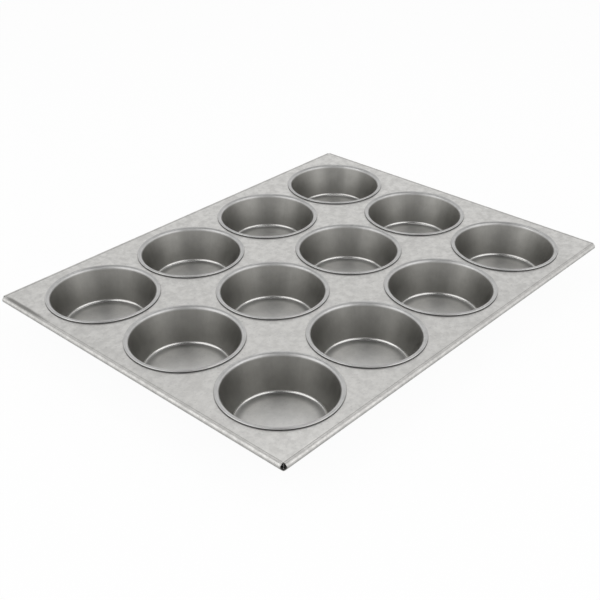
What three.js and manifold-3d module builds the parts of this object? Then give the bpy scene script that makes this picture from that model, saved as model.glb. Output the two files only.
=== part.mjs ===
// Jumbo muffin pan: deep round cups, drawn one by one and hung by their rolled lips in a flat sheet
// frame whose four edges are rolled round stiffening wires.
// Millimetres, X along the pan's length, Y along its width, +Z up. The origin is under the middle of
// the pan, on the surface that the cups' floors stand on.

import * as THREE from "three";
import { mergeVertices } from "three/addons/utils/BufferGeometryUtils.js";
import Module from "manifold-3d";

// Layout of the cups
const cupRows = ["front", "middle", "back"];
const cupsPerRow = 4;
const webX = 3.4; // flat sheet between the lips of neighbours in a row
const webY = 6.2; // the same between two rows
const borderX = 16.3; // from the last lip in a row to the pan's outer edge
const borderY = 15.6; // the same in front of the first row and behind the last

// A drawn cup
const cupWall = 0.6;
const cupDepth = 37.8; // inside, from the floor to the lip's crest
const floorDiameter = 89; // inside, where wall and floor would meet without the rounded foot
const footRadius = 3.4; // inside
const lipDiameter = 121.8; // over the rolled lip
const lipHeight = 1.9; // crest above the frame sheet
const lipRollRadius = 1.5; // outside of the roll's section, from the crest to the tip
const mouthRadius = 3.7; // rounding from the crest down into the cup

// Frame sheet and its rolled edges
const sheet = 0.6;
const wireDiameter = 4.8;
const collarBendRadius = 0.3; // inside the bend at the foot of a collar
const crownHeight = 0.15; // how far a rolled edge stands above the sheet
const creaseDepth = 0.22; // valley between the sheet and the roll, below the sheet's top
const creaseStep = 0.1; // down from the flat sheet's edge into the valley
const creaseWidth = 0.8; // from the valley's bottom to the flat sheet
const rollEnd = -205; // degrees round the wire, from the outward side, where the sheet's free edge stops
const rollSetback = 2.4; // from the pan's outer corner to the end of a roll, on its outer side
const rollSetbackInside = 6.4; // the same from the crown of the roll inwards
const wireSetback = 9; // from the pan's outer corner to the end of a wire

// Clearance between pieces that touch on the real pan
const fitGap = 0.3;

// Steps of the round shapes
const turnSteps = 24;
const rollSteps = 16;
const mouthSteps = 3;
const lipSteps = 2;
const hollowSteps = 2;
const footSteps = 2;
const collarSteps = 1;
const wireSteps = 12;

// How far the rolled edges reach into the flat sheet, and a cutter past what it cuts
const joinOverlap = 0.5;
const cutMargin = 1;

const degrees = Math.PI / 180;

// Overall sizes, over the rolled edges: room for the cups, the webs between them and the borders
const cupPitchX = lipDiameter + webX;
const cupPitchY = lipDiameter + webY;
const panLength = (cupsPerRow - 1) * cupPitchX + lipDiameter + 2 * borderX;
const panWidth = (cupRows.length - 1) * cupPitchY + lipDiameter + 2 * borderY;

// Heights
const floorTop = cupWall;
const lipCrest = floorTop + cupDepth;
const sheetTop = lipCrest - lipHeight;
const sheetBottom = sheetTop - sheet;

const wasm = await Module();
wasm.setup();

// A closed three.js geometry as a solid that can be joined and cut.
function solidOf(geometry) {
  const bare = geometry.clone();
  bare.deleteAttribute("normal");
  bare.deleteAttribute("uv");
  const merged = mergeVertices(bare, 1e-4);
  return new wasm.Manifold(
    new wasm.Mesh({
      numProp: 3,
      vertProperties: new Float32Array(merged.attributes.position.array),
      triVerts: new Uint32Array(merged.index.array),
    }),
  );
}

function geometryOf(solid) {
  const mesh = solid.getMesh();
  const geometry = new THREE.BufferGeometry();
  geometry.setAttribute("position", new THREE.BufferAttribute(mesh.vertProperties, mesh.numProp));
  geometry.setIndex(new THREE.BufferAttribute(mesh.triVerts, 1));
  const faceted = geometry.toNonIndexed();
  faceted.computeVertexNormals();
  return faceted;
}

// Points of an arc in a section plane, angles in degrees.
function arc(centre, radius, from, to, steps) {
  return Array.from({ length: steps + 1 }, (_, i) => {
    const angle = (from + ((to - from) * i) / steps) * degrees;
    return new THREE.Vector2(
      centre.x + radius * Math.cos(angle),
      centre.y + radius * Math.sin(angle),
    );
  });
}

// A section (radius, height) turned about the vertical axis.
function revolve(section) {
  return new THREE.LatheGeometry(section, turnSteps).rotateX(90 * degrees);
}

// Rolled lip, the same on the cup that has it and on the collar that it covers: a wide arc from the
// wall up to the crest, and a tight one from the crest down to the tip
const crestRadius = lipDiameter / 2 - lipRollRadius;
const mouthCentre = new THREE.Vector2(crestRadius, lipCrest - mouthRadius);
const lipCentre = new THREE.Vector2(crestRadius, lipCrest - lipRollRadius);
const lipHollowRadius = lipRollRadius - cupWall;

// A cup with its floor's underside at height 0: the wall is a straight line that leaves the rounded
// foot and runs on into the rounded mouth.
function cupGeometry() {
  const floorRadius = floorDiameter / 2;
  const across = mouthCentre.x - floorRadius;
  const up = mouthCentre.y - floorTop;
  const draft =
    (Math.atan2(across, up) - Math.asin(mouthRadius / Math.hypot(across, up))) / degrees;

  const footCentre = new THREE.Vector2(
    floorRadius + footRadius * (Math.tan(draft * degrees) - 1 / Math.cos(draft * degrees)),
    floorTop + footRadius,
  );
  const wallTop = 180 - draft;
  const tipHeight = sheetTop + fitGap - lipCentre.y;
  const tipOutside = Math.asin(tipHeight / lipRollRadius) / degrees;
  const tipInside = Math.asin(tipHeight / lipHollowRadius) / degrees;

  const inside = [
    new THREE.Vector2(0, floorTop),
    ...arc(footCentre, footRadius, -90, -draft, footSteps),
    ...arc(mouthCentre, mouthRadius, wallTop, 90, mouthSteps),
    ...arc(lipCentre, lipRollRadius, 90, tipOutside, lipSteps).slice(1),
  ];
  const outside = [
    ...arc(lipCentre, lipHollowRadius, tipInside, 90, hollowSteps),
    ...arc(mouthCentre, mouthRadius - cupWall, 90, wallTop, hollowSteps).slice(1),
    ...arc(footCentre, footRadius + cupWall, -draft, -90, footSteps),
    new THREE.Vector2(0, floorTop - cupWall),
  ];
  return revolve([...inside, ...outside].reverse());
}

// The upturned collar round a hole of the frame, under the middle of the lip's roll: a boss on the
// sheet, and the hole that is cut through both with a rounded edge underneath.
const collarInside = lipCentre.x - sheet / 2;
const collarOutside = lipCentre.x + sheet / 2;
const collarTop = lipCentre.y + Math.sqrt(lipHollowRadius ** 2 - (sheet / 2) ** 2) - fitGap;
const bendRadius = Math.min(collarBendRadius, (collarTop - sheetTop) / 2);
const collarBend = new THREE.Vector2(collarOutside + bendRadius, sheetTop + bendRadius);

function collarBoss() {
  const section = [
    new THREE.Vector2(0, sheetTop - sheet / 2),
    new THREE.Vector2(collarBend.x, sheetTop - sheet / 2),
    ...arc(collarBend, bendRadius, -90, -180, collarSteps),
    new THREE.Vector2(collarOutside, collarTop),
    new THREE.Vector2(0, collarTop),
  ];
  return solidOf(revolve(section));
}

function collarHole() {
  const section = [
    new THREE.Vector2(0, sheetBottom - cutMargin),
    new THREE.Vector2(collarBend.x, sheetBottom - cutMargin),
    ...arc(collarBend, bendRadius + sheet, -90, -180, collarSteps),
    new THREE.Vector2(collarInside, collarTop + cutMargin),
    new THREE.Vector2(0, collarTop + cutMargin),
  ];
  return solidOf(revolve(section));
}

// Rolled edge: x runs inwards from the pan's outer edge as negative numbers, y is the height
const rollHollowRadius = wireDiameter / 2 + fitGap;
const rollRadius = rollHollowRadius + sheet;
const rollCentre = new THREE.Vector2(-rollRadius, sheetTop + crownHeight - rollRadius);
const rollStart = 180 - Math.asin(1 - (crownHeight + creaseDepth) / rollRadius) / degrees;
const valleyBottom = arc(rollCentre, rollRadius, rollStart, rollEnd, 1)[0];
const flatEnd = valleyBottom.x - creaseWidth;

// One rolled edge along X, its outer side at y = 0 and facing -Y, cut slanting outside its crown so that two
// neighbours leave the corner open. A tongue of it lies inside the flat sheet.
function rolledEdge(length) {
  const tongueEnd = flatEnd - joinOverlap;
  const section = new THREE.Shape([
    new THREE.Vector2(tongueEnd, sheetTop - creaseStep),
    ...arc(rollCentre, rollRadius, rollStart, rollEnd, rollSteps),
    ...arc(rollCentre, rollHollowRadius, rollEnd, rollStart, rollSteps),
    new THREE.Vector2(valleyBottom.x, valleyBottom.y - sheet),
    new THREE.Vector2(tongueEnd, sheetBottom + creaseStep / 2),
  ]);
  // the section stands upright on a line along X
  const bar = new THREE.ExtrudeGeometry(section, { depth: length, bevelEnabled: false })
    .rotateX(90 * degrees)
    .rotateZ(-90 * degrees)
    .translate(length / 2, 0, 0);

  const outerHalf = length / 2 - rollSetback;
  const innerHalf = length / 2 - rollSetbackInside;
  const reach = rollRadius - flatEnd;
  const outline = new THREE.Shape([
    new THREE.Vector2(-outerHalf, 0),
    new THREE.Vector2(outerHalf, 0),
    new THREE.Vector2(innerHalf, rollRadius),
    new THREE.Vector2(innerHalf, reach),
    new THREE.Vector2(-innerHalf, reach),
    new THREE.Vector2(-innerHalf, rollRadius),
  ]);
  const ends = new THREE.ExtrudeGeometry(outline, { depth: lipCrest, bevelEnabled: false });
  return solidOf(bar).intersect(solidOf(ends));
}

function cupCentres() {
  return cupRows.flatMap((row, j) =>
    Array.from({ length: cupsPerRow }, (_, i) => ({
      name: `cup_${row}_${i + 1}`,
      x: (i - (cupsPerRow - 1) / 2) * cupPitchX,
      y: (j - (cupRows.length - 1) / 2) * cupPitchY,
    })),
  );
}

// The four edges: the way that each one faces, its length, and how far it lies from the middle
const edges = [
  { side: "front", turn: 0, length: panLength, from: panWidth / 2 },
  { side: "right", turn: 90, length: panWidth, from: panLength / 2 },
  { side: "back", turn: 180, length: panLength, from: panWidth / 2 },
  { side: "left", turn: 270, length: panWidth, from: panLength / 2 },
];

function frameGeometry() {
  const halfX = panLength / 2 + flatEnd;
  const halfY = panWidth / 2 + flatEnd;
  const outline = new THREE.Shape([
    new THREE.Vector2(-halfX, -halfY),
    new THREE.Vector2(halfX, -halfY),
    new THREE.Vector2(halfX, halfY),
    new THREE.Vector2(-halfX, halfY),
  ]);
  const flat = new THREE.ExtrudeGeometry(outline, { depth: sheet, bevelEnabled: false });
  let frame = solidOf(flat.translate(0, 0, sheetBottom));

  const boss = collarBoss();
  const hole = collarHole();
  for (const { x, y } of cupCentres()) {
    frame = frame.add(boss.translate([x, y, 0])).subtract(hole.translate([x, y, 0]));
  }
  for (const { turn, length, from } of edges) {
    frame = frame.add(rolledEdge(length).translate([0, -from, 0]).rotate([0, 0, turn]));
  }
  return geometryOf(frame);
}

const frameMaterial = new THREE.MeshStandardMaterial({
  color: 0xc4c4c2,
  roughness: 0.42,
  metalness: 1,
});
const cupMaterial = new THREE.MeshStandardMaterial({
  color: 0x9c9b98,
  roughness: 0.36,
  metalness: 1,
});
const wireMaterial = new THREE.MeshStandardMaterial({
  color: 0x8d8d8d,
  roughness: 0.5,
  metalness: 1,
});

const pan = new THREE.Group();

function place(name, geometry, material, parent) {
  const mesh = new THREE.Mesh(geometry, material);
  mesh.name = name;
  parent.add(mesh);
  return mesh;
}

place("frame_sheet", frameGeometry(), frameMaterial, pan);

const cup = cupGeometry();
for (const { name, x, y } of cupCentres()) {
  place(name, cup, cupMaterial, pan).position.set(x, y, 0);
}

// A wire lies along X in a group that is turned to its own edge.
for (const { side, turn, length, from } of edges) {
  const edge = new THREE.Group();
  edge.rotation.z = turn * degrees;
  pan.add(edge);
  const rod = new THREE.CylinderGeometry(
    wireDiameter / 2,
    wireDiameter / 2,
    length - 2 * wireSetback,
    wireSteps,
  ).rotateZ(90 * degrees);
  place(`edge_wire_${side}`, rod, wireMaterial, edge).position.set(
    0,
    rollRadius - from,
    rollCentre.y,
  );
}

export default pan;
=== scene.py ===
import math

import bmesh
import bpy
from mathutils import Matrix, Vector


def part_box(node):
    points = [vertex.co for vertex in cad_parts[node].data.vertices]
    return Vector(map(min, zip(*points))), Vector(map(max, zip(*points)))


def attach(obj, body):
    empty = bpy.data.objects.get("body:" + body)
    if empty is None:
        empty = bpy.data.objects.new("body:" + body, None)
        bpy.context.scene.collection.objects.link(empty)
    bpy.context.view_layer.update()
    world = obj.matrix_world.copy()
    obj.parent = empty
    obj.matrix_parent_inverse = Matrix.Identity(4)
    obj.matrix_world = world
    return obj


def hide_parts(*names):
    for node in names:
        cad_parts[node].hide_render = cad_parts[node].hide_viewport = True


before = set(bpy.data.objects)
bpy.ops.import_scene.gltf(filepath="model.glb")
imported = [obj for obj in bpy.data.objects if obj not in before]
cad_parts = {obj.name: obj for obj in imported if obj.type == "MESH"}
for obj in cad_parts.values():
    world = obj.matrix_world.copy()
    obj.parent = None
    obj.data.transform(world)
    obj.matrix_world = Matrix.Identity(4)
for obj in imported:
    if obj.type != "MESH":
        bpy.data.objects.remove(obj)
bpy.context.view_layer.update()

scene = bpy.context.scene
scene.view_settings.view_transform = "Standard"
print("frame loaded with", len(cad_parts), "nodes")

upright = Vector((0, 0, 1))
sectionTurn = Vector((0, -1, 0))  # a positive turn goes from +X towards +Z
still = Vector((0, 0, 0))
tiny = 1e-5            # places closer together than this count as one
joinDistance = 1e-6    # where a section's points meet
sharpAngle = 38        # degrees: edges that turn more are drawn sharp
noiseMiddle = 0.5


# Short forms for building node trees: an input is given a value or another node's output

def addNode(tree, kind, inputs=None, **settings):
    node = tree.nodes.new(kind)
    for name, value in settings.items():
        setattr(node, name, value)
    for name, value in (inputs or {}).items():
        if isinstance(value, bpy.types.NodeSocket):
            tree.links.new(value, node.inputs[name])
        else:
            node.inputs[name].default_value = value
    return node


def calc(tree, operation, *values):
    node = addNode(tree, "ShaderNodeMath", dict(enumerate(values)), operation=operation)
    return node.outputs[0]


def vectorCalc(tree, operation, inputs):
    return addNode(tree, "ShaderNodeVectorMath", inputs, operation=operation).outputs


def blendColours(tree, factor, first, second):
    # 6, 7 and 2 are the node's colour sockets
    node = addNode(tree, "ShaderNodeMix", {0: factor, 6: first, 7: second}, data_type="RGBA")
    return node.outputs[2]


def ramp(tree, value, low, high, start=0.0, end=1.0):
    inputs = {"Value": value, "From Min": low, "From Max": high, "To Min": start, "To Max": end}
    node = addNode(tree, "ShaderNodeMapRange", inputs, interpolation_type="SMOOTHSTEP")
    return node.outputs[0]


def noise(tree, vector, scale, detail=2.0, roughness=0.5):
    inputs = {"Vector": vector, "Scale": scale, "Detail": detail, "Roughness": roughness}
    return addNode(tree, "ShaderNodeTexNoise", inputs).outputs[0]


def newMetal(name):
    material = bpy.data.materials.new(name)
    material.use_nodes = True
    shader = material.node_tree.nodes["Principled BSDF"]
    shader.inputs["Metallic"].default_value = 1.0
    return material, material.node_tree, shader


# Mottled metal coat: soft blotches, small flecks and a fine grain

mottle = {
    "blotchDetail": 4.0,
    "blotchRough": 0.62,
    "blotchSpan": (0.3, 0.7),
    "fleckSpan": (0.6, 0.72),    # the noise's highest spots only
    "grainFiner": 4.0,           # times the flecks' scale
    "grainRough": 0.6,
}


def makeMottleGroup():
    group = bpy.data.node_groups.new("mottledCoat", "ShaderNodeTree")
    for name, kind in (("Vector", "Vector"), ("Blotch Scale", "Float"), ("Fleck Scale", "Float")):
        group.interface.new_socket(name, in_out="INPUT", socket_type="NodeSocket" + kind)
    for name in ("Blotch", "Fleck", "Grain"):
        group.interface.new_socket(name, in_out="OUTPUT", socket_type="NodeSocketFloat")
    given = addNode(group, "NodeGroupInput").outputs
    place = given["Vector"]
    blotch = noise(group, place, given["Blotch Scale"], mottle["blotchDetail"], mottle["blotchRough"])
    fleck = noise(group, place, given["Fleck Scale"])
    grainScale = calc(group, "MULTIPLY", given["Fleck Scale"], mottle["grainFiner"])
    addNode(group, "NodeGroupOutput", {
        "Blotch": ramp(group, blotch, *mottle["blotchSpan"]),
        "Fleck": ramp(group, fleck, *mottle["fleckSpan"]),
        "Grain": noise(group, place, grainScale, roughness=mottle["grainRough"]),
    })
    return group


mottledCoat = makeMottleGroup()


def addMottle(tree, vector, blotchScale, fleckScale):
    inputs = {"Vector": vector, "Blotch Scale": blotchScale, "Fleck Scale": fleckScale}
    return addNode(tree, "ShaderNodeGroup", inputs, node_tree=mottledCoat).outputs


def addBump(tree, shader, height, distance, strength):
    inputs = {"Height": height, "Distance": distance, "Strength": strength}
    node = addNode(tree, "ShaderNodeBump", inputs)
    tree.links.new(node.outputs[0], shader.inputs["Normal"])


# Drawing a section in the XZ plane, one vertex after the other

def lineTo(bm, vert, x, z):
    end = bmesh.ops.extrude_vert_indiv(bm, verts=[vert])["verts"][0]
    end.co = Vector((x, 0, z))
    return end


def arcTo(bm, vert, centre, degrees, steps):
    made = bmesh.ops.spin(
        bm, geom=[vert], cent=Vector((centre[0], 0, centre[1])), axis=sectionTurn, dvec=still,
        angle=math.radians(degrees), steps=steps, use_merge=False, use_normal_flip=False,
        use_duplicate=False,
    )
    return next(item for item in made["geom_last"] if isinstance(item, bmesh.types.BMVert))


# Puts a finished bmesh on the pan's one body, in place of a node of the frame

def placePiece(bm, name, node, material):
    for edge in bm.edges:
        edge.smooth = edge.calc_face_angle(0) < math.radians(sharpAngle)
    for face in bm.faces:
        face.smooth = True
    mesh = bpy.data.meshes.new(name)
    bm.to_mesh(mesh)
    bm.free()
    mesh.materials.append(material)
    piece = bpy.data.objects.new(name, mesh)
    scene.collection.objects.link(piece)
    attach(piece, "root")
    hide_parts(node)


# Drawn cups: floor, rounded foot, sloping wall, rounded mouth, and a lip rolled down to the sheet

cup = {
    "wall": 0.0006,
    "floorRadius": 0.0445,    # where wall and floor would meet without the rounded foot
    "footRound": 0.0034,
    "mouthRound": 0.0037,
    "crestRadius": 0.0590,
    "lipRound": 0.0014,
    "lipHeight": 0.0019,      # crest above the sheet
    "lipGap": 0.0002,         # lip's tip above the sheet
    "hold": 0.0006,           # short flat stretch that keeps the shading of floor and wall clean
    "lift": 0.000002,         # keeps rounding errors above the floor
    "turns": 128,
    "footSteps": 8,
    "mouthSteps": 8,
    "lipSteps": 8,
}
cupFinish = {
    # painted light and shade: floor, wall, foot and lip are one metal, given a lighter floor, a darker
    # wall and a dimmer lip
    "floor": (0.715, 0.71, 0.695, 1),
    "wall": (0.302, 0.297, 0.281, 1),     # painted shade: the same metal as the floor, given a darker tone on the wall
    "foot": (0.57, 0.565, 0.55, 1),       # painted highlight: a lighter tone on the rounded foot
    "lip": (0.49, 0.488, 0.482, 1),
    "wallStart": (0.0001, 0.0006),        # above the floor's top, where the wall's tone comes in
    "lipStart": (0.004, 0.0014),          # below the crest, where the lip's tone comes in
    "seamShare": 0.85,                    # painted shadow under the lip's outer side
    "seamInward": (0.0008, 0.0003),       # from the lip's radius
    "seamDown": (0.0007, 0.0012),         # from the crest
    "footShadeShare": 0.42,                    # painted shade: a dimmer ring at the floor's edge
    "footRing": (0.034, 0.041),
    "footLow": (0.0006, 0.001),           # heights between which the foot's tone comes and goes
    "footHigh": (0.0022, 0.0034),
    "fleck": (0.30, 0.295, 0.285, 1),
    "fleckShare": 0.12,
    "blotchScale": 70.0,
    "blotchShare": 0.12,                  # how much lighter the coat's light spots are
    "fleckScale": 420.0,
    "streakScale": 5.0,                   # round the wall, on a circle of radius one
    "streakDetail": 3.0,
    "streakRough": 0.55,
    "streakShare": 0.25,
    "floorRough": 0.42,
    "wallRough": 0.37,
    "footRough": 0.24,
    "lipRough": 0.42,
    "bumpDepth": 0.00003,
    "bumpStrength": 0.25,
}
cupNodes = sorted(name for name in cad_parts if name.startswith("cup_"))
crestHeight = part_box(cupNodes[0])[1].z - tiny    # just under the CAD's
sheetTop = crestHeight - cup["lipHeight"]
lipRadius = cup["crestRadius"] + cup["lipRound"]


def makeCupMetal():
    material, tree, shader = newMetal("drawnCupMetal")
    place = addNode(tree, "ShaderNodeTexCoord").outputs["Object"]
    coat = addMottle(tree, place, cupFinish["blotchScale"], cupFinish["fleckScale"])
    local = addNode(tree, "ShaderNodeAttribute", attribute_name="cupLocal").outputs["Vector"]
    height = addNode(tree, "ShaderNodeSeparateXYZ", {0: local}).outputs["Z"]
    onWall = ramp(tree, height, *[cup["wall"] + up for up in cupFinish["wallStart"]])
    onLip = ramp(tree, height, *[crestHeight - down for down in cupFinish["lipStart"]])
    onFoot = calc(
        tree, "MULTIPLY", ramp(tree, height, *cupFinish["footLow"]),
        ramp(tree, height, *cupFinish["footHigh"], 1.0, 0.0),
    )

    # floor, foot, wall and lip each have a roughness, and a tone that paints light and shade on the
    # one metal
    colour = blendColours(tree, onWall, cupFinish["floor"], cupFinish["wall"])
    # painted highlight on the foot's rounding
    colour = blendColours(tree, onFoot, colour, cupFinish["foot"])
    colour = blendColours(tree, onLip, colour, cupFinish["lip"])
    fleck = calc(tree, "MULTIPLY", coat["Fleck"], cupFinish["fleckShare"])
    colour = blendColours(tree, fleck, colour, cupFinish["fleck"])
    rough = ramp(tree, onWall, 0.0, 1.0, cupFinish["floorRough"], cupFinish["wallRough"])
    lipRougher = calc(tree, "MULTIPLY", onLip, cupFinish["lipRough"] - cupFinish["wallRough"])
    footSmoother = calc(tree, "MULTIPLY", onFoot, cupFinish["footRough"] - cupFinish["wallRough"])
    rough = calc(tree, "ADD", calc(tree, "ADD", rough, lipRougher), footSmoother)
    tree.links.new(rough, shader.inputs["Roughness"])

    # painted shadow in the seam between the lip's outer side and the sheet
    flat = vectorCalc(tree, "MULTIPLY", {0: local, 1: (1, 1, 0)})[0]
    radius = vectorCalc(tree, "LENGTH", {0: flat})["Value"]
    outside = ramp(tree, radius, *[lipRadius - inward for inward in cupFinish["seamInward"]])
    lowDown = ramp(tree, height, *[crestHeight - down for down in cupFinish["seamDown"]])
    seam = calc(tree, "MULTIPLY", calc(tree, "MULTIPLY", outside, lowDown), cupFinish["seamShare"])

    # soft bands up the wall, left by drawing, and the coat's light spots
    around = vectorCalc(tree, "NORMALIZE", {0: flat})[0]
    streak = noise(
        tree, around, cupFinish["streakScale"], cupFinish["streakDetail"], cupFinish["streakRough"],
    )
    streak = calc(tree, "MULTIPLY", calc(tree, "SUBTRACT", streak, noiseMiddle), onWall)
    darkest = 1 - cupFinish["blotchShare"] / 2    # so that the light and dark spots lie about one
    shade = calc(tree, "MULTIPLY_ADD", streak, cupFinish["streakShare"], darkest)
    shade = calc(tree, "MULTIPLY_ADD", coat["Blotch"], cupFinish["blotchShare"], shade)
    # the painted shadow darkens the seam
    shade = calc(tree, "MULTIPLY", shade, calc(tree, "SUBTRACT", 1.0, seam))

    # painted shade: the floor dims towards the foot
    ringShade = ramp(tree, radius, *cupFinish["footRing"], 0.0, cupFinish["footShadeShare"])
    ringShade = calc(tree, "MULTIPLY", ringShade, calc(tree, "SUBTRACT", 1.0, onWall))
    shade = calc(tree, "MULTIPLY", shade, calc(tree, "SUBTRACT", 1.0, ringShade))
    colour = vectorCalc(tree, "SCALE", {0: colour, "Scale": shade})[0]
    tree.links.new(colour, shader.inputs["Base Color"])
    addBump(tree, shader, coat["Grain"], cupFinish["bumpDepth"], cupFinish["bumpStrength"])
    return material


cupMetal = makeCupMetal()


def cupSection(bm):
    floorTop = cup["wall"]
    mouth = (cup["crestRadius"], crestHeight - cup["mouthRound"])
    lip = (cup["crestRadius"], crestHeight - cup["lipRound"])
    across = mouth[0] - cup["floorRadius"]
    rise = mouth[1] - floorTop
    slope = math.atan2(across, rise) - math.asin(cup["mouthRound"] / math.hypot(across, rise))
    draft = math.degrees(slope)
    foot = (
        cup["floorRadius"] + cup["footRound"] * (math.tan(slope) - 1 / math.cos(slope)),
        floorTop + cup["footRound"],
    )
    tipAngle = math.degrees(math.asin((sheetTop + cup["lipGap"] - lip[1]) / cup["lipRound"]))
    alongWall = Vector((math.sin(slope), math.cos(slope))) * cup["hold"]

    def wallPoint(centre, radius, side):
        return (
            centre[0] + side * radius * math.cos(slope),
            centre[1] - side * radius * math.sin(slope),
        )

    # inside, from the middle of the floor to the tip of the lip
    vert = bm.verts.new((0, 0, floorTop))
    vert = lineTo(bm, vert, foot[0] - cup["hold"], floorTop)
    vert = lineTo(bm, vert, foot[0], floorTop)
    vert = arcTo(bm, vert, foot, 90 - draft, cup["footSteps"])
    low = wallPoint(foot, cup["footRound"], 1)
    high = wallPoint(mouth, cup["mouthRound"], -1)
    vert = lineTo(bm, vert, low[0] + alongWall.x, low[1] + alongWall.y)
    vert = lineTo(bm, vert, high[0] - alongWall.x, high[1] - alongWall.y)
    vert = lineTo(bm, vert, *high)
    vert = arcTo(bm, vert, mouth, draft - 90, cup["mouthSteps"])
    vert = arcTo(bm, vert, lip, tipAngle - 90, cup["lipSteps"])

    # outside, back to the middle of the floor
    hollow = cup["lipRound"] - cup["wall"]
    tip = (
        lip[0] + hollow * math.cos(math.radians(tipAngle)),
        lip[1] + hollow * math.sin(math.radians(tipAngle)),
    )
    vert = lineTo(bm, vert, *tip)
    vert = arcTo(bm, vert, lip, 90 - tipAngle, cup["lipSteps"])
    vert = arcTo(bm, vert, mouth, 90 - draft, cup["mouthSteps"])
    high = wallPoint(mouth, cup["mouthRound"] - cup["wall"], -1)
    low = wallPoint(foot, cup["footRound"] + cup["wall"], 1)
    vert = lineTo(bm, vert, high[0] - alongWall.x, high[1] - alongWall.y)
    vert = lineTo(bm, vert, low[0] + alongWall.x, low[1] + alongWall.y)
    vert = lineTo(bm, vert, *low)
    vert = arcTo(bm, vert, foot, draft - 90, cup["footSteps"])
    vert = lineTo(bm, vert, foot[0] - cup["hold"], 0)
    lineTo(bm, vert, 0, 0)


def makeCup(node):
    low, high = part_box(node)
    centre = Vector(((low.x + high.x) / 2, (low.y + high.y) / 2, cup["lift"]))
    bm = bmesh.new()
    cupSection(bm)
    bmesh.ops.remove_doubles(bm, verts=bm.verts, dist=joinDistance)
    bmesh.ops.spin(
        bm, geom=bm.verts[:] + bm.edges[:], cent=still, axis=upright, dvec=still, angle=2 * math.pi,
        steps=cup["turns"], use_merge=True, use_normal_flip=False, use_duplicate=False,
    )
    bmesh.ops.remove_doubles(bm, verts=bm.verts, dist=joinDistance)
    bmesh.ops.recalc_face_normals(bm, faces=bm.faces)
    local = bm.verts.layers.float_vector.new("cupLocal")  # place inside the cup, for its metal
    for vert in bm.verts:
        vert[local] = vert.co
    bmesh.ops.translate(bm, verts=bm.verts, vec=centre)
    placePiece(bm, "drawn_" + node, node, cupMetal)
    return centre


cupCentres = [makeCup(node) for node in cupNodes]
print("cups made:", len(cupCentres))


# Frame sheet: a cell round each cup, a flat border, then a crease and a rolled edge on each side

sheet = {
    "thickness": 0.0006,
    "holeSegments": 128,
    "holeHold": 0.0008,       # flat ring round a hole that keeps the shading clean
    "collarInside": 0.0003,   # from the crest's radius to the collar's outer face
    "collarBend": 0.0003,
    "collarRise": 0.0001,     # upright part above the bend
    "collarSteps": 4,
    "borderRows": (0.006, 0.0028, 0.0016),  # rows of the border, from the crease inwards
    "creaseDepth": 0.0001,    # valley under the sheet's top
    "creaseWidth": 0.0008,    # from the flat sheet to the valley
    "crownHeight": 0.00012,   # top of the roll above the sheet
    "wireGap": 0.0003,        # between a wire and the roll round it
    "rollEnd": -200,          # degrees from the outward side, where the free edge stops
    "rollSteps": 26,
    "cornerGap": 0.00003,     # from a rolled end to the mitre
    "cornerHole": 0.0045,     # more of it at the wire's height, on the outer side
    "holeTop": 1.06,          # where the hole would close above the wire's axis, in radii of the roll
    "holeBottom": 0.86,       # and where it closes below
}
sheetFinish = {
    "light": (0.652, 0.644, 0.625, 1),
    "dark": (0.551, 0.544, 0.528, 1),
    "fleck": (0.38, 0.378, 0.372, 1),
    "fleckShare": 0.34,
    # colour of the painted shade in the crease, the dent, the corner holes and the lip seams
    "paintedShade": (0.24, 0.236, 0.225, 1),
    "creaseShadeShare": 0.8,
    "creaseShadeWidth": 0.0006,
    "dentShadeShare": 1.3,         # painted shade of a dent along the left end's crease, from the back corner on
    "dentWidth": 0.0036,
    "dentStart": (0.002, 0.018),    # from that corner, where the dent's tone comes and goes
    "dentEnd": (0.045, 0.085),
    "holeShadeShare": 0.6,         # painted shade inside the hole at a corner
    "holeReach": 0.0065,
    "ringShadowShare": 0.35,        # painted shadow in the seam round each lip
    "ringWidth": 0.0009,
    "rollShading": 0.95,         # painted shade: the roll is darker, and more so on its outer and under side
    "rollShade": 0.62,
    "rollShadeDrop": (0.001, 0.0042),
    "blotchScale": 150.0,
    "fleckScale": 330.0,
    "smooth": 0.33,
    "rough": 0.42,
    "rollRougher": 0.12,      # where the sheet is rolled
    "waveScale": 14.0,
    "waveDetail": 1.0,
    "waveDepth": 0.0004,      # gentle unevenness of the flat sheet
    "bumpDepth": 0.00004,
    "bumpStrength": 0.3,
}
sheetLow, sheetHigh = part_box("frame_sheet")
halfPan = ((sheetHigh.x - sheetLow.x) / 2, (sheetHigh.y - sheetLow.y) / 2)
digits = 5    # of a place in metres, so that the cups of a row share it
cellsX = sorted({round(centre.x, digits) for centre in cupCentres})
cellsY = sorted({round(centre.y, digits) for centre in cupCentres})
pitch = (cellsX[1] - cellsX[0], cellsY[1] - cellsY[0])
wireLow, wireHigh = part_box("edge_wire_front")
rollRadius = (wireHigh.z - wireLow.z) / 2 + sheet["wireGap"] + sheet["thickness"]
valleyUp = rollRadius - sheet["crownHeight"] - sheet["creaseDepth"]
valleyAngle = 180 - math.degrees(math.asin(valleyUp / rollRadius))
valleyIn = rollRadius * (1 - math.cos(math.radians(valleyAngle)))
flatIn = valleyIn + sheet["creaseWidth"]


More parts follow.
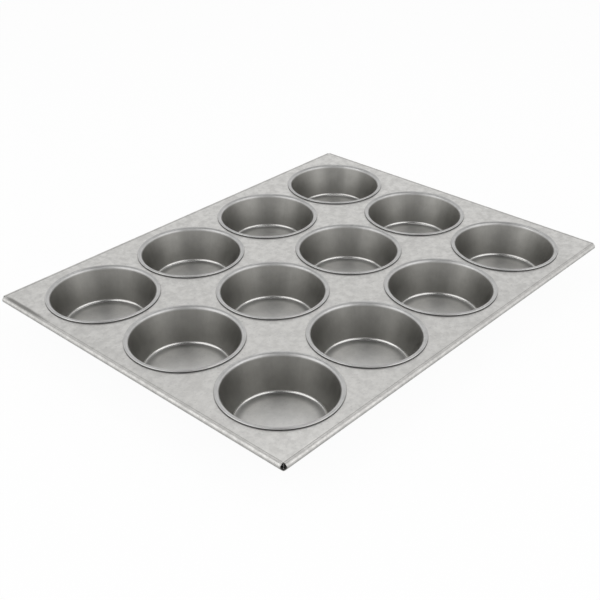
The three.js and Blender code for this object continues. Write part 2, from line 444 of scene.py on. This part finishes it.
def makeSheetMetal():
    material, tree, shader = newMetal("satinSheetMetal")
    place = addNode(tree, "ShaderNodeTexCoord").outputs["Object"]
    coat = addMottle(tree, place, sheetFinish["blotchScale"], sheetFinish["fleckScale"])
    colour = blendColours(tree, coat["Blotch"], sheetFinish["dark"], sheetFinish["light"])
    fleck = calc(tree, "MULTIPLY", coat["Fleck"], sheetFinish["fleckShare"])
    colour = blendColours(tree, fleck, colour, sheetFinish["fleck"])

    # painted shade in the crease, by the distance from the nearest outer edge, and in the dent and the
    # corners
    apart = addNode(tree, "ShaderNodeSeparateXYZ", {0: place}).outputs
    fromEnd = calc(tree, "SUBTRACT", halfPan[0], calc(tree, "ABSOLUTE", apart["X"]))
    fromSide = calc(tree, "SUBTRACT", halfPan[1], calc(tree, "ABSOLUTE", apart["Y"]))
    fromEdge = calc(tree, "MINIMUM", fromEnd, fromSide)
    fromValley = calc(tree, "ABSOLUTE", calc(tree, "SUBTRACT", fromEdge, valleyIn))
    paintedShade = ramp(tree, fromValley, sheetFinish["creaseShadeWidth"], 0.0, 0.0, sheetFinish["creaseShadeShare"])
    fromCorner = calc(tree, "MAXIMUM", fromEnd, fromSide)
    alongDent = calc(tree, "SUBTRACT", halfPan[1], apart["Y"])
    acrossDent = calc(tree, "ABSOLUTE", calc(tree, "ADD", apart["X"], halfPan[0] - valleyIn))
    dentShade = ramp(tree, acrossDent, sheetFinish["dentWidth"], 0.0, 0.0, sheetFinish["dentShadeShare"])
    dentShade = calc(tree, "MULTIPLY", dentShade, ramp(tree, alongDent, *sheetFinish["dentStart"]))
    dentShade = calc(tree, "MULTIPLY", dentShade, ramp(tree, alongDent, *sheetFinish["dentEnd"], 1.0, 0.0))
    # painted shade in the corner hole
    hole = ramp(tree, fromCorner, sheetFinish["holeReach"], 0.0, 0.0, sheetFinish["holeShadeShare"])
    paintedShade = calc(tree, "MAXIMUM", calc(tree, "ADD", paintedShade, dentShade), hole)
    colour = blendColours(tree, paintedShade, colour, sheetFinish["paintedShade"])

    # and painted shadow round the lips, by the distance from the nearest cup's middle
    fromCup = []
    for axis, cells, step in zip("XY", (cellsX, cellsY), pitch):
        reach = step / 2
        limit = cells[-1] + reach
        inside = calc(tree, "MINIMUM", calc(tree, "MAXIMUM", apart[axis], -limit), limit)
        fromCup.append(calc(tree, "WRAP", calc(tree, "SUBTRACT", inside, cells[0]), reach, -reach))
    across = addNode(tree, "ShaderNodeCombineXYZ", {"X": fromCup[0], "Y": fromCup[1]}).outputs[0]
    radius = vectorCalc(tree, "LENGTH", {0: across})["Value"]
    fromLip = calc(tree, "SUBTRACT", radius, lipRadius)
    ringShade = ramp(tree, fromLip, sheetFinish["ringWidth"], 0.0, 0.0, sheetFinish["ringShadowShare"])
    colour = blendColours(tree, ringShade, colour, sheetFinish["paintedShade"])

    # painted shade darkens the rolls, which are also rougher than the flat sheet
    drop = [sheetTop - down for down in sheetFinish["rollShadeDrop"]]
    rollShading = calc(
        tree, "MULTIPLY", ramp(tree, fromEdge, flatIn, rollRadius, 1.0, sheetFinish["rollShading"]),
        ramp(tree, apart["Z"], *drop, 1.0, sheetFinish["rollShade"]),
    )
    colour = vectorCalc(tree, "SCALE", {0: colour, "Scale": rollShading})[0]
    tree.links.new(colour, shader.inputs["Base Color"])
    rough = ramp(tree, coat["Blotch"], 0.0, 1.0, sheetFinish["rough"], sheetFinish["smooth"])
    onRoll = ramp(tree, fromEdge, flatIn, rollRadius, 0.0, sheetFinish["rollRougher"])
    tree.links.new(calc(tree, "ADD", rough, onRoll), shader.inputs["Roughness"])

    # waves and grain add up to one height in metres
    wave = noise(tree, place, sheetFinish["waveScale"], sheetFinish["waveDetail"])
    wave = calc(tree, "MULTIPLY", wave, sheetFinish["waveDepth"])
    height = calc(tree, "MULTIPLY_ADD", coat["Grain"], sheetFinish["bumpDepth"], wave)
    addBump(tree, shader, height, 1.0, sheetFinish["bumpStrength"])
    return material


sheetMetal = makeSheetMetal()


def pullEdges(bm, edges, shift):
    made = bmesh.ops.extrude_edge_only(bm, edges=edges)["geom"]
    verts = {item for item in made if isinstance(item, bmesh.types.BMVert)}
    bmesh.ops.translate(bm, verts=list(verts), vec=shift)
    return [
        item for item in made
        if isinstance(item, bmesh.types.BMEdge) and verts.issuperset(item.verts)
    ]


def boundaryAt(bm, axis, place):
    return [
        edge for edge in bm.edges
        if edge.is_boundary and all(abs(vert.co[axis] - place) < tiny for vert in edge.verts)
    ]


def makeCell(bm, centre):
    bend = cup["crestRadius"] + sheet["collarInside"] + sheet["collarBend"]
    radius = bend + sheet["holeHold"]
    place = Matrix.Translation((centre.x, centre.y, sheetTop))
    hole = bmesh.ops.create_circle(
        bm, cap_ends=False, segments=sheet["holeSegments"], radius=radius, matrix=place,
    )
    rim = list({edge for vert in hole["verts"] for edge in vert.link_edges})
    stretch = Matrix.Diagonal((*pitch, 1, 1))  # from a square of side one
    square = bmesh.ops.create_grid(
        bm, x_segments=1, y_segments=1, size=1 / 2, matrix=place @ stretch,
    )
    face = square["verts"][0].link_faces[0]
    sides = face.edges[:]
    bmesh.ops.delete(bm, geom=[face], context="FACES_ONLY")
    cut = bmesh.ops.subdivide_edges(bm, edges=sides, cuts=sheet["holeSegments"] // 4 - 1)
    sides = [item for item in cut["geom"] if isinstance(item, bmesh.types.BMEdge)]
    bmesh.ops.bridge_loops(bm, edges=rim + sides)

    # the hole's rim runs in, then turns up in a small bend under the lip
    profile = [(bend, 0)]
    for step in range(1, sheet["collarSteps"] + 1):
        turn = math.pi / 2 * step / sheet["collarSteps"]
        inward = sheet["collarBend"] * math.sin(turn)
        profile.append((bend - inward, sheet["collarBend"] * (1 - math.cos(turn))))
    profile.append((profile[-1][0], profile[-1][1] + sheet["collarRise"]))
    height = 0
    for newRadius, newHeight in profile:
        rim = pullEdges(bm, rim, upright * (newHeight - height))
        verts = list({vert for edge in rim for vert in edge.verts})
        grow = newRadius / radius
        bmesh.ops.scale(bm, verts=verts, vec=(grow, grow, 1), space=place.inverted())
        radius, height = newRadius, newHeight


# How far a rolled end stays back from the mitre: most at the wire's height, on the outer side
def endGap(inside, upper):
    reach = sheet["holeTop"] if upper > 0 else sheet["holeBottom"]
    opened = math.sqrt(max(1 - (upper / reach) ** 2, 0))
    opened *= max(0, min(1, (valleyIn - inside) / (valleyIn - rollRadius)))
    return sheet["cornerGap"] + sheet["cornerHole"] * opened


def makeRolledSide(bm, edges, axis, side):
    other = 1 - axis
    outward = Vector((0, 0, 0))
    outward[axis] = side
    before = set(bm.faces)
    flat = {vert for edge in edges for vert in edge.verts}
    valley = pullEdges(bm, edges, outward * sheet["creaseWidth"] - upright * sheet["creaseDepth"])
    wireAxis = outward * (halfPan[axis] - rollRadius)
    wireAxis += upright * (sheetTop + sheet["crownHeight"] - rollRadius)
    bmesh.ops.spin(
        bm, geom=valley + list({vert for edge in valley for vert in edge.verts}), cent=wireAxis,
        axis=outward.cross(upright), dvec=still,
        angle=math.radians(sheet["rollEnd"] - valleyAngle),
        steps=sheet["rollSteps"], use_merge=False, use_normal_flip=False, use_duplicate=False,
    )

    # the ends slide along the edge to a mitre, with a hole between them
    rolled = {vert for face in bm.faces if face not in before for vert in face.verts} - flat
    for end in (-1, 1):
        for vert in rolled:
            if abs(vert.co[other] - end * (halfPan[other] - flatIn)) < tiny:
                inside = max(halfPan[axis] - side * vert.co[axis], 0)
                upper = (vert.co.z - wireAxis.z) / rollRadius
                vert.co[other] = end * (halfPan[other] - inside - endGap(inside, upper))


def makeFrameSheet():
    bm = bmesh.new()
    for centre in cupCentres:
        makeCell(bm, centre)
    bmesh.ops.remove_doubles(bm, verts=bm.verts, dist=tiny)

    # flat border in rows, first past the ends of the cup rows, then in front and behind
    for axis in (0, 1):
        block = (cellsX, cellsY)[axis][-1] + pitch[axis] / 2
        for side in (-1, 1):
            edges = boundaryAt(bm, axis, side * block)
            place = block
            for row in (*sheet["borderRows"], 0.0):
                shift = Vector((0, 0, 0))
                shift[axis] = side * (halfPan[axis] - flatIn - row - place)
                edges = pullEdges(bm, edges, shift)
                place = halfPan[axis] - flatIn - row

    # all four edges are found before the first one is rolled
    rims = [
        (boundaryAt(bm, axis, side * (halfPan[axis] - flatIn)), axis, side)
        for axis in (0, 1) for side in (-1, 1)
    ]
    for edges, axis, side in rims:
        makeRolledSide(bm, edges, axis, side)

    # the flat sheet faces up, so that its thickness goes down, and into the rolls
    bmesh.ops.recalc_face_normals(bm, faces=bm.faces)
    flat = min(bm.faces, key=lambda face: (face.calc_center_median() - upright * sheetTop).length)
    if flat.normal.z < 0:
        bmesh.ops.reverse_faces(bm, faces=bm.faces)
    bmesh.ops.solidify(bm, geom=bm.faces, thickness=sheet["thickness"])
    placePiece(bm, "rolled_frame_sheet", "frame_sheet", sheetMetal)


makeFrameSheet()
print("frame sheet made")


# Wires inside the rolled edges

wire = {
    "segments": 24,
    "endRound": 0.0004,
    "endSteps": 3,
    "endAngle": 60,           # degrees: only the edges round the ends turn more
}
wireFinish = {
    "light": (0.36, 0.357, 0.35, 1),
    "dark": (0.24, 0.237, 0.23, 1),
    "blotchScale": 160.0,
    "fleckScale": 600.0,
    "smooth": 0.38,
    "rough": 0.52,
    "bumpDepth": 0.00003,
    "bumpStrength": 0.3,
}


def makeWireMetal():
    material, tree, shader = newMetal("drawnWireMetal")
    place = addNode(tree, "ShaderNodeTexCoord").outputs["Object"]
    coat = addMottle(tree, place, wireFinish["blotchScale"], wireFinish["fleckScale"])
    colour = blendColours(tree, coat["Blotch"], wireFinish["dark"], wireFinish["light"])
    tree.links.new(colour, shader.inputs["Base Color"])
    rough = ramp(tree, coat["Blotch"], 0.0, 1.0, wireFinish["rough"], wireFinish["smooth"])
    tree.links.new(rough, shader.inputs["Roughness"])
    addBump(tree, shader, coat["Grain"], wireFinish["bumpDepth"], wireFinish["bumpStrength"])
    return material


wireMetal = makeWireMetal()


def makeWire(node):
    low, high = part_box(node)
    size = high - low
    axis = 0 if size.x > size.y else 1
    bm = bmesh.new()
    turn = Matrix.Rotation(math.radians(90), 4, "Y" if axis == 0 else "X")
    bmesh.ops.create_cone(
        bm, cap_ends=True, segments=wire["segments"], radius1=size.z / 2, radius2=size.z / 2,
        depth=size[axis], matrix=Matrix.Translation((low + high) / 2) @ turn,
    )
    ends = [edge for edge in bm.edges if edge.calc_face_angle(0) > math.radians(wire["endAngle"])]
    bmesh.ops.bevel(
        bm, geom=ends, offset=wire["endRound"], segments=wire["endSteps"], profile=0.5, affect="EDGES",
        material=-1,
    )
    placePiece(bm, "stiff_" + node, node, wireMetal)


for node in sorted(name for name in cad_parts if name.startswith("edge_wire_")):
    makeWire(node)
print("edge wires made")


# Camera at the photograph's viewpoint

view = {
    "eye": (-0.7213, -0.6375, 0.5719),
    "heading": 42.2612,       # degrees from +X towards +Y
    "down": 30.882,           # degrees below the horizon
    "roll": -0.1217,          # degrees, the right side up
    "lens": 59.922,           # millimetres, as the sensor
    "sensor": 36.0,
}
heading = math.radians(view["heading"])
away = Vector((math.cos(heading), math.sin(heading), 0))   # level, from the camera to the pan
rightward = away.cross(upright)


def makeCamera():
    data = bpy.data.cameras.new("camera")
    data.lens = view["lens"]
    data.sensor_width = view["sensor"]
    camera = bpy.data.objects.new("camera", data)
    scene.collection.objects.link(camera)
    down = math.radians(view["down"])
    forward = away * math.cos(down) - upright * math.sin(down)
    turn = Matrix.Rotation(math.radians(-view["roll"]), 3, forward)
    camera.location = view["eye"]
    camera.rotation_euler = (turn @ forward.to_track_quat("-Z", "Y").to_matrix()).to_euler()
    scene.camera = camera


makeCamera()


# Pale floor and studio light: bright low down all round, a dark ceiling, and three soft boxes

floor = {"size": 12.0, "colour": (0.9, 0.9, 0.9, 1), "whiteShare": 0.95}
sky = {
    "strength": 1.5,          # of a tone of one
    # tones by degrees above the horizon
    "far": ((0, 0.76), (22, 0.73), (30, 0.63), (38, 0.53), (52, 0.36), (66, 0.2), (90, 0.08)),
    "near": ((0, 0.67), (12, 0.67), (20, 0.52), (28, 0.21), (42, 0.12), (90, 0.08)),
    "sideways": 0.5,          # near turns into far within this much of straight sideways
}
softBoxes = {
    "leftBox": {"right": -1.35, "away": -0.82, "up": 1.32, "size": 2.1, "power": 18.0},
    "rightBox": {"right": 1.35, "away": -0.82, "up": 1.32, "size": 2.1, "power": 18.0},
    "topBox": {"right": 0.0, "away": 0.45, "up": 1.15, "size": 0.4, "power": 1.0},
}


def makeFloor():
    bm = bmesh.new()
    bmesh.ops.create_grid(bm, x_segments=1, y_segments=1, size=floor["size"])
    mesh = bpy.data.meshes.new("floor")
    bm.to_mesh(mesh)
    bm.free()
    ground = bpy.data.objects.new("floor", mesh)
    scene.collection.objects.link(ground)
    material = bpy.data.materials.new("paleFloor")
    material.use_nodes = True
    tree = material.node_tree
    tree.nodes.clear()
    path = addNode(tree, "ShaderNodeLightPath").outputs
    seen = calc(tree, "MAXIMUM", path["Is Camera Ray"], path["Is Glossy Ray"])
    seen = calc(tree, "MAXIMUM", seen, path["Is Transmission Ray"])
    matte = addNode(tree, "ShaderNodeBsdfDiffuse", {"Color": floor["colour"]})
    white = addNode(tree, "ShaderNodeEmission", {"Strength": 1.0})
    share = calc(tree, "MULTIPLY", seen, floor["whiteShare"])
    mix = addNode(tree, "ShaderNodeMixShader", {0: share, 1: matte.outputs[0], 2: white.outputs[0]})
    addNode(tree, "ShaderNodeOutputMaterial", {"Surface": mix.outputs[0]})
    mesh.materials.append(material)


def makeWorld():
    world = bpy.data.worlds.new("studio")
    scene.world = world
    world.use_nodes = True
    tree = world.node_tree
    towards = addNode(tree, "ShaderNodeTexCoord").outputs["Generated"]
    rise = addNode(tree, "ShaderNodeSeparateXYZ", {0: towards}).outputs["Z"]

    def sideTones(tones):
        node = addNode(tree, "ShaderNodeValToRGB", {"Fac": rise})
        stops = node.color_ramp.elements
        for index, (degrees, tone) in enumerate(tones):
            stop = stops[index] if index < 2 else stops.new(1.0)  # a new ramp has two
            stop.position = math.sin(math.radians(degrees))
            stop.color = (tone, tone, tone, 1)
        return node.outputs["Color"]

    facing = vectorCalc(tree, "DOT_PRODUCT", {0: towards, 1: away})["Value"]
    farShare = ramp(tree, facing, -sky["sideways"], sky["sideways"])
    tones = blendColours(tree, farShare, sideTones(sky["near"]), sideTones(sky["far"]))
    background = tree.nodes["Background"]
    background.inputs["Strength"].default_value = sky["strength"]
    tree.links.new(tones, background.inputs["Color"])


def makeSoftBox(name, box):
    data = bpy.data.lights.new(name, "AREA")
    data.shape = "SQUARE"
    data.size = box["size"]
    data.energy = box["power"]
    lamp = bpy.data.objects.new(name, data)
    scene.collection.objects.link(lamp)
    lamp.location = rightward * box["right"] + away * box["away"] + upright * box["up"]
    lamp.rotation_euler = (-lamp.location).to_track_quat("-Z", "Y").to_euler()


makeFloor()
makeWorld()
for name, box in softBoxes.items():
    makeSoftBox(name, box)
print("studio made")
